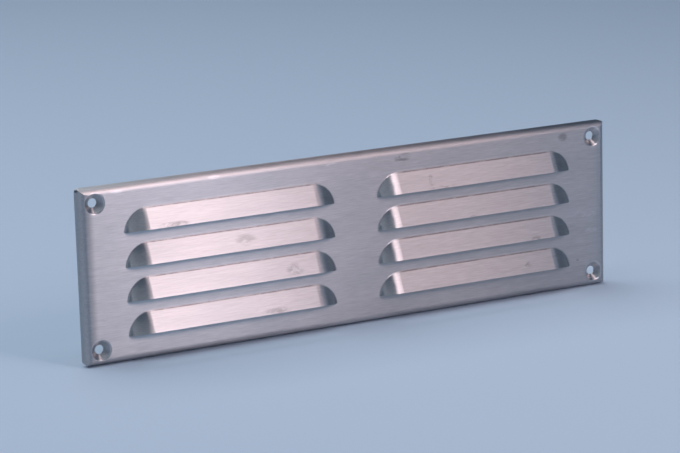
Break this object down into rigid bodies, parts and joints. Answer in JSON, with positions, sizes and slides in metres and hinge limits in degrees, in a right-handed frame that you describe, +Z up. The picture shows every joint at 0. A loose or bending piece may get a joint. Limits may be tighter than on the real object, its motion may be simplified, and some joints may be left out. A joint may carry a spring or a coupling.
{
  "type": "louvred sheet metal panel",
  "caption": "Rectangular sheet-metal vent panel with columns of pressed louvre hoods open at their lower lips, a shallow turned-back rim and pressed countersunk screw seats at its corners.",
  "frame": {"origin": "in the plane of the rim's free edge, which lies on the wall, midway between the four screw holes", "axes": "+X along the panel's length, -Y out of the front face where the louvre hoods stand, +Z up, so that the hoods open downwards"},
  "size_m": [0.26, 0.0092, 0.076],
  "materials": {
    "satin_stainless": "satin stainless steel, fine brushed grain along the panel's length"
  },
  "bodies": {
    "root": {"louvre_panel": "satin_stainless"}
  },
  "joints": []
}
